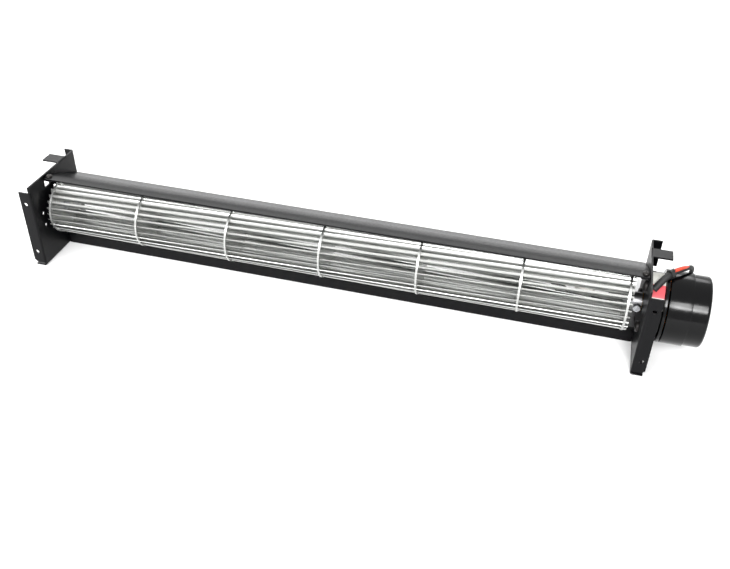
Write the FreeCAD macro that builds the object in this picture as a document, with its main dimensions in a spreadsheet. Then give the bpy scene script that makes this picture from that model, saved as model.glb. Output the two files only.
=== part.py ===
import FreeCAD, Part
import math
import os
import Sketcher

# Cross flow fan: a long bladed impeller between two sheet metal end plates.
# Lengths are millimetres and angles are degrees. While it is drawn, X runs along
# the impeller's axis from the middle of the left end disc, Y points to the back
# and Z up. Every piece is then moved so that the fan stands on the ground plane.

Vector = FreeCAD.Vector
doc = FreeCAD.newDocument("cross_flow_fan")
sheet = doc.addObject("Spreadsheet::Sheet", "Size")

sizes = {
    # Impeller: seven discs carry the blades, each blade runs through all of them
    "disc_dia": 30,
    "disc_thick": 1,
    "disc_pitch": 50,
    "segment_count": 6,
    "blade_count": 26,
    "blade_thick": 0.3,
    "blade_rim_gap": 0.6,
    "blade_inner_dia": 22.8,
    "blade_tip_angle": 30,
    "blade_twist": 33,
    "blade_phase": 1.3,
    "blade_tab": 1.6,
    "slot_clearance": 0.06,
    # End plates: one sheet each, all flanges bent away from the impeller
    "sheet_thick": 0.8,
    "bend_radius": 1,
    "plate_gap_left": 3.9,
    "plate_gap_right": 7.2,
    "plate_depth": 44.5,
    "axis_height": 26.8,
    "plate_top": 21.7,
    "flange_reach": 6.6,
    "flange_drop": 3.5,
    "flange_lift": 1.8,
    "flange_chamfer": 1.4,
    "foot_reach": 5.8,
    "mount_hole_dia": 2.2,
    "mount_hole_inset": 3.8,
    "mount_hole_above": 11.2,
    "mount_hole_spacing": 29.5,
    "top_tab_reach": 9.9,
    "top_tab_width": 7.2,
    "top_tab_start": 7.1,
    "rear_tab_reach": 5.2,
    "rear_tab_height": 14.5,
    "sight_hole_dia": 2,
    "sight_hole_upper": 2.1,
    "sight_hole_lower": 4.9,
    "sight_hole_front": 14.4,
    # Guide plates and the ears of the end plates that hold them
    "guide_gap": 1.2,
    "guide_radius": 75,
    "guide_nearest_angle": 63,
    "guide_arc_front": 73.3,
    "guide_arc_back": 58.8,
    "guide_lip": 4,
    "guide_tail_drop": 13.8,
    "guide_end_gap": 0.15,
    "tongue_front": 2,
    "tongue_gap": 2.4,
    "tongue_fall": 3.5,
    "tongue_lip_lift": 0.3,
    "ear_width": 4.6,
    "ear_reach": 4,
    "ear_inset": 0.4,
    "rear_ear_start": 11,
    # Idle end: stub shaft, sleeve bearing and rubber cushion
    "shaft_dia": 4,
    "shaft_clearance": 0.03,
    "idle_hole_dia": 14,
    "cushion_flange_dia": 17,
    "cushion_lip": 1,
    "cushion_depth": 3.4,
    "bush_dia": 8,
    "rivet_dia": 6,
    "rivet_stand": 0.6,
    "stub_flange_dia": 9,
    "stub_flange_thick": 1,
    # Drive end: hub, base, rotor can and what turns inside
    "hub_dia": 9,
    "hub_length": 6.2,
    "hub_screw_along": 4.4,
    "hub_screw_dia": 2.5,
    "hub_screw_head_dia": 3.6,
    "hub_screw_reach": 6.4,
    "motor_dia": 35,
    "motor_step_in": 0.5,
    "motor_end_round": 1.4,
    "motor_reach": 28.6,
    "motor_step": 20.6,
    "can_start": 10.2,
    "can_wall": 1,
    "rim_start": 8.2,
    "rim_gap": 0.5,
    "base_rim": 2,
    "base_wall": 1.2,
    "base_floor": 1.5,
    "bearing_tube_dia": 9,
    "bearing_tube_length": 17,
    "magnet_space": 1.5,
    "stator_start": 11.4,
    "stator_stack": 7,
    "stator_yoke": 5.8,
    "stator_poles": 4,
    "pole_width": 5,
    "pole_shoe": 2,
    "shoe_width": 14,
    "coil_wall": 1.8,
    "coil_ease": 0.4,
    "film_thick": 0.3,
    "film_from": 25,
    "film_to": 105,
    # Lead: a sleeve over the motor, its spare length in a coil behind the fan
    "lead_dia": 3.2,
    "coil_mid_dia": 34,
    "coil_lead_in": 4,
    "coil_flat_count": 24,
    "tie_wall": 0.6,
    "tie_width": 2,
    "tie_slack": 0.1,
    "tie_lock": 3,
    "connector_length": 9,
    "connector_width": 6,
    "connector_height": 5,
    "connector_chamfer": 0.5,
    "connector_inset": 2.9,
    "connector_angle": -75,
    "connector_heading": 160,
    "connector_well": 1.6,
    "connector_depth": 6,
}

derived = {
    "motor_end_dia": "motor_dia - 2 * motor_step_in",
    "base_dia": "motor_dia - 2 * base_rim",
    "disc_radius": "disc_dia / 2",
    "impeller_length": "disc_pitch * segment_count",
    "blade_outer": "disc_radius - blade_rim_gap",
    "blade_inner": "blade_inner_dia / 2",
    "blade_bow": "(blade_outer ^ 2 - blade_inner ^ 2) / (2 * blade_outer * cos(blade_tip_angle))",
    "bow_ratio": "blade_inner / blade_bow",
    "bow_reach": "(blade_outer ^ 2 - blade_inner ^ 2) / (2 * blade_bow ^ 2)",
    "blade_arc": "(atan(1 / bow_ratio) + asin((bow_reach - 1) / sqrt(bow_ratio ^ 2 + 1))) / 1 deg",
    "blade_start": "-disc_thick / 2 - blade_tab",
    "blade_end": "impeller_length + disc_thick / 2 + blade_tab",
    "slot_near": "(blade_bow - blade_thick / 2) * cos(blade_arc / 2) - slot_clearance",
    "slot_far": "blade_bow + blade_thick / 2 + slot_clearance",
    "slot_half": "(blade_bow + blade_thick / 2) * sin(blade_arc / 2) + slot_clearance",
    "slot_heading": "270 - blade_arc / 2",
    "left_face": "-plate_gap_left",
    "right_face": "impeller_length + plate_gap_right",
    "plate_back": "plate_depth / 2",
    "flange_top": "plate_top - flange_drop",
    "flange_bottom": "-axis_height + flange_lift",
    "foot_fold": "-axis_height + bend_radius",
    "tab_fold": "plate_top - bend_radius",
    "rear_fold": "plate_back - bend_radius",
    "rear_tab_bottom": "plate_top - rear_tab_height",
    "guide_start": "left_face + guide_end_gap",
    "guide_length": "right_face - left_face - 2 * guide_end_gap",
    "guide_centre_reach": "guide_radius - disc_radius - guide_gap - sheet_thick",
    "guide_centre_y": "-guide_centre_reach * cos(guide_nearest_angle)",
    "guide_centre_z": "-guide_centre_reach * sin(guide_nearest_angle)",
    "guide_inner_radius": "guide_radius - sheet_thick",
    "lip_root_y": "guide_centre_y + guide_radius * cos(guide_arc_front)",
    "lip_top": "guide_centre_z + guide_radius * sin(guide_arc_front)",
    "lip_front": "lip_root_y - guide_lip",
    "tail_root_y": "guide_centre_y + guide_radius * cos(guide_arc_back)",
    "tail_root_z": "guide_centre_z + guide_radius * sin(guide_arc_back)",
    "tail_end_z": "plate_top - guide_tail_drop",
    "tongue_top": "-disc_radius - tongue_gap",
    "tongue_bottom": "-axis_height + tongue_lip_lift",
    "tongue_slope": "tongue_fall / (plate_back - tongue_front)",
    "ear_top": "lip_top - sheet_thick",
    "ear_front": "lip_front + ear_inset",
    "left_end": "left_face - top_tab_reach",
    "right_end": "right_face + motor_reach",
    "frame_middle": "(left_end + right_end) / 2",
    "shaft_radius": "shaft_dia / 2",
    "bore_radius": "shaft_radius + shaft_clearance",
    "plate_outside": "right_face + sheet_thick",
    "rim_end": "right_face + can_start - rim_gap",
    "tube_end": "plate_outside + bearing_tube_length",
    "stator_middle": "right_face + stator_start + stator_stack / 2",
    "can_floor": "right_end - can_wall",
    "can_bore": "motor_end_dia / 2 - can_wall",
    "stator_dia": "2 * (can_bore - magnet_space)",
    "shaft_start": "impeller_length + disc_thick",
    "lead_radius": "lead_dia / 2",
    "coil_outer_turn": "(coil_mid_dia + lead_dia) / 2",
    "coil_inner_turn": "(coil_mid_dia - lead_dia) / 2",
}

row = 0
for name, number in sizes.items():
    row += 1
    sheet.set(f"A{row}", name)
    sheet.set(f"B{row}", str(number))
    sheet.setAlias(f"B{row}", name)
for name, formula in derived.items():
    row += 1
    sheet.set(f"A{row}", name)
    sheet.set(f"B{row}", "=" + formula)
    sheet.setAlias(f"B{row}", name)
doc.recompute()

subparts = []


def bound(text):
    """A formula in the sheet's names, written as an expression for the document."""
    words = []
    word = ""
    for letter in text + " ":
        if letter.isalnum() or letter == "_":
            word += letter
            continue
        words.append("Size." + word if word in sizes or word in derived else word)
        words.append(letter)
        word = ""
    return "".join(words).strip()


def value(text):
    """The number that a formula in the sheet's names has now."""
    result = sheet.evalExpression(bound(text))
    return float(getattr(result, "Value", result))


def stand(piece, turn=None):
    """Moves a finished piece from the drawing place to the standing fan."""
    if turn:
        piece.Placement = FreeCAD.Placement(Vector(), FreeCAD.Rotation(Vector(1, 0, 0), value(turn)))
    piece.setExpression("Placement.Base.x", "0 - Size.frame_middle")
    piece.setExpression("Placement.Base.z", "Size.axis_height")
    subparts.append(piece)
    return piece


def new_body(label):
    body = doc.addObject("PartDesign::Body", label)
    body.Label = label
    return stand(body)


def new_sketch(body, plane, offset="0", turn=None):
    """A sketch on one of the body's own origin planes, set off along its normal."""
    sketch = body.newObject("Sketcher::SketchObject", body.Label + "_sketch")
    plane_object = [item for item in body.Origin.OriginFeatures if item.Role == plane][0]
    sketch.AttachmentSupport = [(plane_object, "")]
    sketch.MapMode = "FlatFace"
    sketch.setExpression("AttachmentOffset.Base.z", bound(offset))
    if turn:
        sketch.setExpression("AttachmentOffset.Rotation.Angle", bound(turn))
    return sketch


def hold(sketch, kind, element, point, text, scale=1.0):
    """One dimension of the sketch, bound to a formula. The origin is element -1."""
    index = sketch.addConstraint(Sketcher.Constraint(kind, -1, 1, element, point, value(text) * scale))
    sketch.setExpression(f"Constraints[{index}]", bound(text))


def place(sketch, element, point, x, y):
    hold(sketch, "DistanceX", element, point, x)
    hold(sketch, "DistanceY", element, point, y)


def outline(sketch, corners):
    """A closed outline of straight edges through corners given as formulas."""
    numbers = [Vector(value(x), value(y), 0) for x, y in corners]
    edges = []
    for start, end in zip(numbers, numbers[1:] + numbers[:1]):
        edges.append(sketch.addGeometry(Part.LineSegment(start, end), False))
    for index, (x, y) in enumerate(corners):
        sketch.addConstraint(Sketcher.Constraint("Coincident", edges[index - 1], 2, edges[index], 1))
        place(sketch, edges[index], 1, x, y)
    return sketch


def circle(sketch, x, y, radius):
    shape = Part.Circle(Vector(value(x), value(y), 0), Vector(0, 0, 1), value(radius))
    ring = sketch.addGeometry(shape, False)
    place(sketch, ring, 3, x, y)
    index = sketch.addConstraint(Sketcher.Constraint("Radius", ring, value(radius)))
    sketch.setExpression(f"Constraints[{index}]", bound(radius))
    return sketch


def ring_sector(sketch, x, y, inner, outer, start, end):
    """Part of a ring about a centre, between two radii and two angles."""
    centre = Vector(value(x), value(y), 0)
    angles = [math.radians(value(start)), math.radians(value(end))]
    arcs = []
    for radius in (inner, outer):
        ring = Part.Circle(centre, Vector(0, 0, 1), value(radius))
        arcs.append(sketch.addGeometry(Part.ArcOfCircle(ring, angles[0], angles[1]), False))
    sides = []
    for angle in angles:
        away = Vector(math.cos(angle), math.sin(angle), 0)
        side = Part.LineSegment(centre + away * value(inner), centre + away * value(outer))
        sides.append(sketch.addGeometry(side, False))
    for point, side in zip((1, 2), sides):
        sketch.addConstraint(Sketcher.Constraint("Coincident", arcs[0], point, side, 1))
        sketch.addConstraint(Sketcher.Constraint("Coincident", arcs[1], point, side, 2))
    sketch.addConstraint(Sketcher.Constraint("Coincident", arcs[0], 3, arcs[1], 3))
    place(sketch, arcs[0], 3, x, y)
    for arc, radius in zip(arcs, (inner, outer)):
        index = sketch.addConstraint(Sketcher.Constraint("Radius", arc, value(radius)))
        sketch.setExpression(f"Constraints[{index}]", bound(radius))
    for side, angle, text in zip(sides, angles, (start, end)):
        sketch.addConstraint(Sketcher.Constraint("PointOnObject", arcs[0], 3, side))
        index = sketch.addConstraint(Sketcher.Constraint("Angle", side, angle))
        sketch.setExpression(f"Constraints[{index}]", bound(f"({text}) * 1 deg"))
    return sketch


def feature(body, kind, sketch, **settings):
    """A feature made from a sketch; text settings are formulas."""
    item = body.newObject("PartDesign::" + kind, body.Label + "_" + kind.lower())
    item.Profile = sketch
    for key, setting in settings.items():
        if isinstance(setting, str) and setting in ("ThroughAll", "Symmetric", "Length"):
            setattr(item, key, setting)
        elif isinstance(setting, str):
            item.setExpression(key, bound(setting))
        else:
            setattr(item, key, setting)
    return item


def pad(body, sketch, length, **settings):
    return feature(body, "Pad", sketch, Length=length, **settings)


def cut_through(body, sketch):
    return feature(body, "Pocket", sketch, Type="ThroughAll", SideType="Symmetric")


def turned(label, profile):
    """A piece turned about the fan's axis from corners given as (X, radius) formulas."""
    body = new_body(label)
    sketch = outline(new_sketch(body, "XY_Plane"), profile)
    spin = feature(body, "Revolution", sketch, ReferenceAxis=(sketch, ["H_Axis"]))
    spin.Angle = 360
    return body


def group(label, solids, turn=None):
    """Several like pieces as one node."""
    item = doc.addObject("Part::Feature", label)
    item.Label = label
    item.Shape = Part.makeCompound(solids)
    return stand(item, turn)


# Impeller discs, each with one slot for every blade


def disc(label, index, hub_hole=False):
    """One disc where it belongs along the axis, as a body that a group then shows."""
    body = doc.addObject("PartDesign::Body", label)
    place_x = f"{index} * disc_pitch"
    blank = new_sketch(body, "YZ_Plane", f"{place_x} - disc_thick / 2")
    circle(blank, "0", "0", "disc_radius")
    if hub_hole:
        circle(blank, "0", "0", "rivet_dia / 2")
    pad(body, blank, "disc_thick")
    turn = f"0 - blade_phase - blade_twist * {index} / segment_count"
    slot = new_sketch(body, "YZ_Plane", place_x, turn)
    corners = []
    for depth, side in (("slot_near", -1), ("slot_near", 1), ("slot_far", 1), ("slot_far", -1)):
        across = f"{side} * slot_half"
        corners.append((f"-blade_inner + {depth} * cos(slot_heading) + {across} * sin(slot_heading)",
                        f"blade_bow + {depth} * sin(slot_heading) - {across} * cos(slot_heading)"))
    outline(slot, corners)
    pocket = cut_through(body, slot)
    doc.recompute()
    pattern = body.newObject("PartDesign::PolarPattern", label + "_slots")
    pattern.Originals = [pocket]
    pattern.Axis = ([item for item in body.Origin.OriginFeatures if item.Role == "X_Axis"][0], [""])
    pattern.Angle = 360
    pattern.setExpression("Occurrences", "Size.blade_count")
    body.Tip = pattern
    doc.recompute()
    return body.Shape.Solids[0]


# Like discs share a node, which keeps the number of facets down

last_disc = sizes["segment_count"]
group("end_discs", [disc("idle_disc", 0, hub_hole=True), disc("drive_disc", last_disc, hub_hole=True)])
group("inner_discs", [disc(f"inner_disc_{index}", index) for index in range(1, last_disc)])

# Blades: a curved strip that twists from end to end. Its root points away from the
# axis and its tip leans forward, round an arc about (-blade_inner, blade_bow). The strip
# has flat facets, three across and three along, so that a thin blade meshes as it is drawn

blade_flats = 3
blade_spans = 3


def blade_section(share):
    """Corners of the blade's section at a share of its length, convex side first."""
    spot = value(f"blade_start + (blade_end - blade_start) * {share}")
    turned_by = -value("blade_phase") - value("blade_twist") * spot / value("impeller_length")
    turn = FreeCAD.Rotation(Vector(1, 0, 0), turned_by)
    sides = []
    for side in (-1, 1):
        radius = value(f"blade_bow + {side} * blade_thick / 2")
        row = []
        for step in range(blade_flats + 1):
            angle = math.radians(270 - value("blade_arc") * step / blade_flats)
            corner = Vector(0, -value("blade_inner") + radius * math.cos(angle),
                            value("blade_bow") + radius * math.sin(angle))
            row.append(turn.multVec(corner) + Vector(spot, 0, 0))
        sides.append(row)
    return sides[0] + sides[1][::-1]


def flat_faces(corners):
    """A flat face on each closed run of corners."""
    return [Part.Face(Part.makePolygon(list(corner) + [corner[0]])) for corner in corners]


def blade_solid():
    """The blade between its sections: the skin, then the two ends."""
    rings = [blade_section(step / blade_spans) for step in range(blade_spans + 1)]
    around_section = 2 * blade_flats + 2
    triangles = []
    for near, far in zip(rings[:-1], rings[1:]):
        for index in range(around_section):
            after = (index + 1) % around_section
            if index < blade_flats:
                triangles.append((near[index], near[after], far[index]))
                triangles.append((near[after], far[after], far[index]))
            else:
                triangles.append((near[index], near[after], far[after]))
                triangles.append((near[index], far[after], far[index]))
    skin = flat_faces(triangles + [rings[0], rings[-1]])
    solid = Part.makeSolid(Part.makeShell(skin))
    if solid.Volume < 0:
        solid.reverse()
    return solid


strip = blade_solid()
for index in range(sizes["blade_count"]):
    group(f"blade_{index + 1:02d}", [strip], f"-{index} * 360 / blade_count")

# End plates. "out" is 1 where the outside is to the right and -1 where it is to the left

quadrant_start = {(1, 1): 180, (-1, 1): 270, (1, -1): 90, (-1, -1): 0}


def fold(body, plane, start, length, face, out, edge, inward, tip):
    """A flange bent out of the end plate, square to it. Its outer face is at the edge,
    and the plate lies on the side that inward (1 or -1) names."""
    turn = quadrant_start[(out, inward)]
    bend_x = f"({face} + {out} * bend_radius)"
    bend = new_sketch(body, plane, start)
    ring_sector(bend, bend_x, f"{edge} + {inward} * bend_radius", "bend_radius - sheet_thick", "bend_radius",
                f"{turn}", f"{turn + 90}")
    pad(body, bend, length)
    flat = new_sketch(body, plane, start)
    outline(flat, [(bend_x, edge), (tip, edge), (tip, f"{edge} + {inward} * sheet_thick"),
                   (bend_x, f"{edge} + {inward} * sheet_thick")])
    return pad(body, flat, length)


def under_tongue(y):
    """Height of the lower guide's underside at a distance from front to back."""
    return f"(tongue_top - sheet_thick - tongue_slope * ({y} - tongue_front))"


def ear(body, face, out, front, top):
    """An ear bent inward, and the window below it that its metal came from."""
    back = f"({front} + ear_width)"
    roof = [(front, f"{top(front)} - sheet_thick"), (back, f"{top(back)} - sheet_thick")]
    window = new_sketch(body, "YZ_Plane", face)
    outline(window, [(y, f"{z} - ear_reach") for y, z in roof] + roof[::-1])
    cut_through(body, window)
    sheet_ear = new_sketch(body, "YZ_Plane", face)
    outline(sheet_ear, roof + [(back, top(back)), (front, top(front))])
    pad(body, sheet_ear, "ear_reach", Reversed=out > 0)


def end_plate(label, face, out):
    body = new_body(label)

    # The web, narrower wherever a flange is bent out of it
    web = new_sketch(body, "YZ_Plane", face)
    tab_end = "top_tab_start + top_tab_width"
    outline(web, [
        ("-plate_back", "foot_fold"), ("plate_back", "foot_fold"), ("plate_back", "rear_tab_bottom"),
        ("rear_fold", "rear_tab_bottom"), ("rear_fold", "plate_top"), (tab_end, "plate_top"),
        (tab_end, "tab_fold"), ("top_tab_start", "tab_fold"), ("top_tab_start", "plate_top"),
        ("-plate_back", "plate_top"), ("-plate_back", "flange_top"), ("-rear_fold", "flange_top"),
        ("-rear_fold", "flange_bottom"), ("-plate_back", "flange_bottom")])
    pad(body, web, "sheet_thick", Reversed=out < 0)

    # Front flange, foot, top tab and rear tab
    reach = f"{face} + {out} * "
    tip = reach + "flange_reach"
    fold(body, "XY_Plane", "flange_bottom", "flange_top - flange_bottom", face, out, "-plate_back", 1, tip)
    fold(body, "XZ_Plane", "-plate_back", "plate_depth", face, out, "-axis_height", 1, reach + "foot_reach")
    fold(body, "XZ_Plane", f"-({tab_end})", "top_tab_width", face, out, "plate_top", -1,
         reach + "top_tab_reach")
    fold(body, "XY_Plane", "rear_tab_bottom", "rear_tab_height", face, out, "plate_back", -1,
         reach + "rear_tab_reach")

    # The flange's lower outer corner is cut off, and it has two screw holes
    corner = new_sketch(body, "XZ_Plane", "plate_back")
    outline(corner, [(f"{tip} - {out} * flange_chamfer", "flange_bottom"), (tip, "flange_bottom"),
                     (tip, "flange_bottom + flange_chamfer")])
    feature(body, "Pocket", corner, Type="Length", Length="2 * sheet_thick")
    holes = new_sketch(body, "XZ_Plane", "plate_back")
    hole_x = f"{face} + {out} * mount_hole_inset"
    circle(holes, hole_x, "mount_hole_above", "mount_hole_dia / 2")
    circle(holes, hole_x, "mount_hole_above - mount_hole_spacing", "mount_hole_dia / 2")
    feature(body, "Pocket", holes, Type="Length", Length="2 * sheet_thick")

    # Ears for the two guide plates
    ear(body, face, out, "ear_front", lambda y: "ear_top")
    ear(body, face, out, "rear_ear_start", under_tongue)
    return body


left_plate = end_plate("left_end_plate", "left_face", -1)
idle_hole = new_sketch(left_plate, "YZ_Plane", "left_face")
circle(idle_hole, "0", "0", "idle_hole_dia / 2")
circle(idle_hole, "-sight_hole_front", "sight_hole_upper", "sight_hole_dia / 2")
circle(idle_hole, "-sight_hole_front", "-sight_hole_lower", "sight_hole_dia / 2")
cut_through(left_plate, idle_hole)

right_plate = end_plate("right_end_plate", "right_face", 1)


pilot_hole = new_sketch(right_plate, "YZ_Plane", "right_face")
circle(pilot_hole, "0", "0", "bearing_tube_dia / 2")
cut_through(right_plate, pilot_hole)

# Guide plates: the upper one bows over the impeller, the lower one is its tongue

top_guide = new_body("top_guide_plate")
bow = new_sketch(top_guide, "YZ_Plane", "guide_start")
ring_sector(bow, "guide_centre_y", "guide_centre_z", "guide_inner_radius", "guide_radius",
            "guide_arc_back", "guide_arc_front")
pad(top_guide, bow, "guide_length")
front_angle = "cos(guide_arc_front)", "sin(guide_arc_front)"
lip = new_sketch(top_guide, "YZ_Plane", "guide_start")
outline(lip, [("lip_front", "lip_top - sheet_thick"),
              (f"lip_root_y - sheet_thick * {front_angle[0]}", f"lip_top - sheet_thick * {front_angle[1]}"),
              ("lip_root_y", "lip_top"), ("lip_front", "lip_top")])
pad(top_guide, lip, "guide_length")
back_angle = "cos(guide_arc_back)", "sin(guide_arc_back)"
tail = new_sketch(top_guide, "YZ_Plane", "guide_start")
outline(tail, [(f"tail_root_y - sheet_thick * {back_angle[0]}",
                f"tail_root_z - sheet_thick * {back_angle[1]}"),
               ("plate_back", "tail_end_z - sheet_thick"), ("plate_back", "tail_end_z"),
               ("tail_root_y", "tail_root_z")])
pad(top_guide, tail, "guide_length")

tongue = new_body("bottom_guide_plate")
tongue_end = "tongue_top - tongue_fall"
section = new_sketch(tongue, "YZ_Plane", "guide_start")
outline(section, [("tongue_front", "tongue_bottom"), ("tongue_front + sheet_thick", "tongue_bottom"),
                  ("tongue_front + sheet_thick", "tongue_top - sheet_thick * (1 + tongue_slope)"),
                  ("plate_back", f"{tongue_end} - sheet_thick"), ("plate_back", tongue_end),
                  ("tongue_front", "tongue_top")])
pad(tongue, section, "guide_length")

# Idle end: rubber cushion in the left end plate, sleeve bearing, washer and stub shaft

outside = "left_face - sheet_thick"
turned("bearing_cushion", [
    (f"{outside} - cushion_depth", "bush_dia / 2"), (f"{outside} - cushion_depth", "idle_hole_dia / 2"),
    (outside, "cushion_flange_dia / 2"), (outside, "idle_hole_dia / 2"),
    ("left_face + cushion_lip", "idle_hole_dia / 2"), ("left_face + cushion_lip", "bush_dia / 2")])
bush_end = "left_face + cushion_lip"
turned("idle_bush", [
    (f"{outside} - cushion_depth", "bore_radius"), (f"{outside} - cushion_depth", "bush_dia / 2"),
    (bush_end, "bush_dia / 2"), (bush_end, "bore_radius")])
stub_face = "-disc_thick / 2 - stub_flange_thick"
turned("idle_shaft", [
    (f"{outside} - cushion_depth - 0.4", "0"), (f"{outside} - cushion_depth - 0.4", "shaft_radius"),
    (stub_face, "shaft_radius"), (stub_face, "stub_flange_dia / 2"),
    ("-disc_thick / 2", "stub_flange_dia / 2"),
    ("-disc_thick / 2", "rivet_dia / 2"), ("disc_thick / 2 + rivet_stand", "rivet_dia / 2"),
    ("disc_thick / 2 + rivet_stand", "0")])

# Drive end: hub riveted in the right disc, with its clamping screw

last = "impeller_length"
hub = turned("drive_hub", [
    (f"{last} - disc_thick / 2 - rivet_stand", "0"),
    (f"{last} - disc_thick / 2 - rivet_stand", "rivet_dia / 2"),
    (f"{last} + disc_thick / 2", "rivet_dia / 2"), (f"{last} + disc_thick / 2", "hub_dia / 2"),
    (f"{last} + disc_thick / 2 + hub_length", "hub_dia / 2"),
    (f"{last} + disc_thick / 2 + hub_length", "shaft_radius"), ("shaft_start", "shaft_radius"),
    ("shaft_start", "0")])
tapped = new_sketch(hub, "XZ_Plane", "hub_dia")
hub_screw_x = f"{last} + disc_thick / 2 + hub_screw_along"
circle(tapped, hub_screw_x, "0", "hub_screw_dia / 2")
feature(hub, "Pocket", tapped, Type="Length", Length="hub_dia")
hub_screw_seat = Vector(value(hub_screw_x), -value("hub_dia / 2"), 0)
front = Vector(0, -1, 0)
head = Part.makeCylinder(value("hub_screw_head_dia / 2"), value("hub_screw_reach - hub_dia / 2"),
                         hub_screw_seat, front)
shank = Part.makeCylinder(value("hub_screw_dia / 2"), value("hub_dia / 2 - shaft_radius"),
                          hub_screw_seat, -front)
group("hub_screw", [head.fuse(shank)])
turned("drive_shaft", [("shaft_start", "0"), ("shaft_start", "shaft_radius"),
                       ("can_floor", "shaft_radius"), ("can_floor", "0")])

# Motor base: a cup with a rim. The bearing tube in its middle also centres it in the end plate

rim_start = "right_face + rim_start"
turned("motor_base", [
    ("plate_outside", "bearing_tube_dia / 2"), ("plate_outside", "base_dia / 2"), (rim_start, "base_dia / 2"),
    (rim_start, "motor_dia / 2"), ("rim_end", "motor_dia / 2"), ("rim_end", "base_dia / 2 - base_wall"),
    ("plate_outside + base_floor", "base_dia / 2 - base_wall"),
    ("plate_outside + base_floor", "bearing_tube_dia / 2")])
turned("motor_bearing", [
    ("right_face", "bore_radius"), ("right_face", "bearing_tube_dia / 2"),
    ("tube_end", "bearing_tube_dia / 2"), ("tube_end", "bore_radius")])

# Stator: a yoke on the bearing tube, its poles with their shoes, and a winding on each pole

stator = new_body("stator_core")
yoke = new_sketch(stator, "YZ_Plane", "right_face + stator_start")
circle(yoke, "0", "0", "bearing_tube_dia / 2")
outline(yoke, [("-stator_yoke", "-stator_yoke"), ("stator_yoke", "-stator_yoke"),
               ("stator_yoke", "stator_yoke"), ("-stator_yoke", "stator_yoke")])
pad(stator, yoke, "stator_stack")
arm = new_sketch(stator, "YZ_Plane", "right_face + stator_start")
shoe_depth = "stator_dia / 2 - pole_shoe"
outline(arm, [("stator_yoke", "-pole_width / 2"), (shoe_depth, "-pole_width / 2"),
              (shoe_depth, "-shoe_width / 2"), ("stator_dia / 2 - pole_shoe / 2", "-shoe_width / 2"),
              ("stator_dia / 2", "-pole_width / 2"), ("stator_dia / 2", "pole_width / 2"),
              ("stator_dia / 2 - pole_shoe / 2", "shoe_width / 2"), (shoe_depth, "shoe_width / 2"),
              (shoe_depth, "pole_width / 2"), ("stator_yoke", "pole_width / 2")])
arm_pad = pad(stator, arm, "stator_stack")
doc.recompute()
poles = stator.newObject("PartDesign::PolarPattern", "stator_poles_pattern")
poles.Originals = [arm_pad]
poles.Axis = ([item for item in stator.Origin.OriginFeatures if item.Role == "X_Axis"][0], [""])
poles.Angle = 360
poles.setExpression("Occurrences", "Size.stator_poles")
stator.Tip = poles

coils = []
coil_inner = "stator_yoke + coil_ease"
coil_outer = "stator_dia / 2 - pole_shoe - coil_ease"
for index in range(sizes["stator_poles"]):
    wound = []
    for wall in ("coil_wall", "0"):
        size = Vector(value(f"stator_stack + 2 * {wall}"), value(f"({coil_outer}) - ({coil_inner})"),
                      value(f"pole_width + 2 * {wall}"))
        corner = Vector(value("stator_middle") - size.x / 2, value(coil_inner), -size.z / 2)
        wound.append(Part.makeBox(size.x, size.y, size.z, corner))
    coil = wound[0].cut(wound[1])
    coil.rotate(Vector(), Vector(1, 0, 0), index * 360 / value("stator_poles"))
    coils.append(coil)
group("stator_coils", coils)

# Rotor can: a deep drawn cup with a step and a bevelled end

step_x = "right_face + motor_step"
turned("rotor_can", [
    ("right_face + can_start", "can_bore"), ("right_face + can_start", "motor_dia / 2"),
    (step_x, "motor_dia / 2"), (step_x, "motor_end_dia / 2"),
    ("right_end - motor_end_round", "motor_end_dia / 2"),
    ("right_end", "motor_end_dia / 2 - motor_end_round"), ("right_end", "0"), ("can_floor", "0"),
    ("can_floor", "can_bore")])
# Red insulating film round the front and top of the base

film = new_body("insulation_film")
wrap = new_sketch(film, "YZ_Plane", "plate_outside + film_thick")
ring_sector(wrap, "0", "0", "base_dia / 2", "base_dia / 2 + film_thick", "180 - film_to", "180 - film_from")
pad(film, wrap, "rim_start - sheet_thick - 2 * film_thick")

# Lead: straight runs joined by arcs, out of the base, over the motor and down behind it.
# Points are (X from the right end plate, Y, Z above the ground), chosen by hand

lead_points = [
    (2.6, -8.6, 40.6), (5.4, -5.6, 43.7), (8.4, -2.6, 46.2), (12.0, 0.4, 46.7), (15.8, 4.2, 46.4),
    (18.8, 9.8, 44.4), (20.6, 15.2, 39.9), (20.8, 19.4, 33.0), (18.8, 21.8, 24.8), (15.0, 23.8, 16.4),
    (8.6, 25.2, 9.0), (-0.2, 25.9, 4.0), (-10.0, 25.9, 2.2), (-20.0, 25.9, 2.2),
]
arc_share = 0.45


def lead_path(spots):
    """The spots joined by straight runs and the largest arcs that they allow."""
    edges = []
    radii = []
    start = spots[0]
    for before, corner, after in zip(spots, spots[1:], spots[2:]):
        run_in = corner - before
        run_out = after - corner
        reach = arc_share * min(run_in.Length, run_out.Length)
        one = corner - Vector(run_in).normalize() * reach
        two = corner + Vector(run_out).normalize() * reach
        radius = reach / math.tan(run_in.getAngle(run_out) / 2)
        inward = ((one + two) * 0.5 - corner).normalize()
        middle = corner + inward * (math.hypot(radius, reach) - radius)
        edges.append(Part.LineSegment(start, one).toShape())
        edges.append(Part.Arc(one, middle, two).toShape())
        radii.append(radius)
        start = two
    edges.append(Part.LineSegment(start, spots[-1]).toShape())
    return edges, radii


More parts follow.
